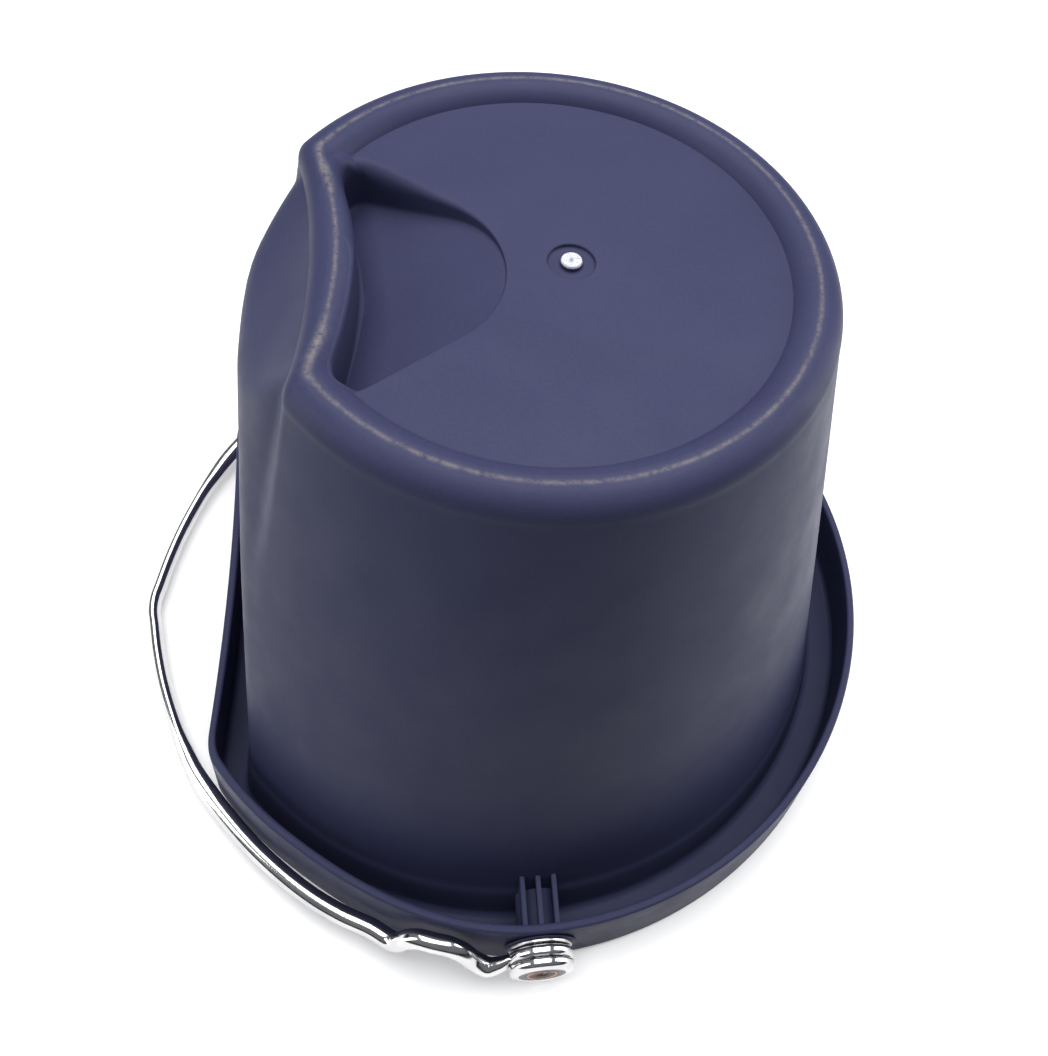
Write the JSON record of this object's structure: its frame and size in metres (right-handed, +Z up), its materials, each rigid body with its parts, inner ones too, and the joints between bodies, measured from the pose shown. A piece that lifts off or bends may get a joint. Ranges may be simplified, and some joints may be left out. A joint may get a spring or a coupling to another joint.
{
  "type": "flat-sided stable bucket",
  "caption": "Tapered plastic bucket with one pressed-in flat side, a turned-back rim collar and a swinging steel bail.",
  "frame": {"origin": "axis of the round wall in the plane of the rim, which is the plane the bucket stands on upside down", "axes": "+Z up from the rim towards the bucket's base, so the bucket is turned over for use; the pressed-in flat side faces -X; the bail's pivots lie on the -Y (front) and +Y (rear) sides"},
  "size_m": [0.3449, 0.362, 0.2485],
  "materials": {
    "moulded_plastic": "satin moulded polyethylene with a fine spark texture",
    "polished_steel": "polished",
    "badge_enamel": "gloss"
  },
  "bodies": {
    "bucket": {"bucket_shell": "moulded_plastic", "front_stud": "polished_steel", "rear_stud": "polished_steel", "front_washer": "polished_steel", "rear_washer": "polished_steel", "front_badge": "badge_enamel", "rear_badge": "badge_enamel"},
    "bail": {"bail_handle": "polished_steel"}
  },
  "joints": [
    {"name": "bail_swing", "type": "hinge", "parent": "bucket", "child": "bail", "pos_m": [0, 0, 0.019], "axis": [0, 1, 0], "range_deg": [-115, 46]}
  ]
}
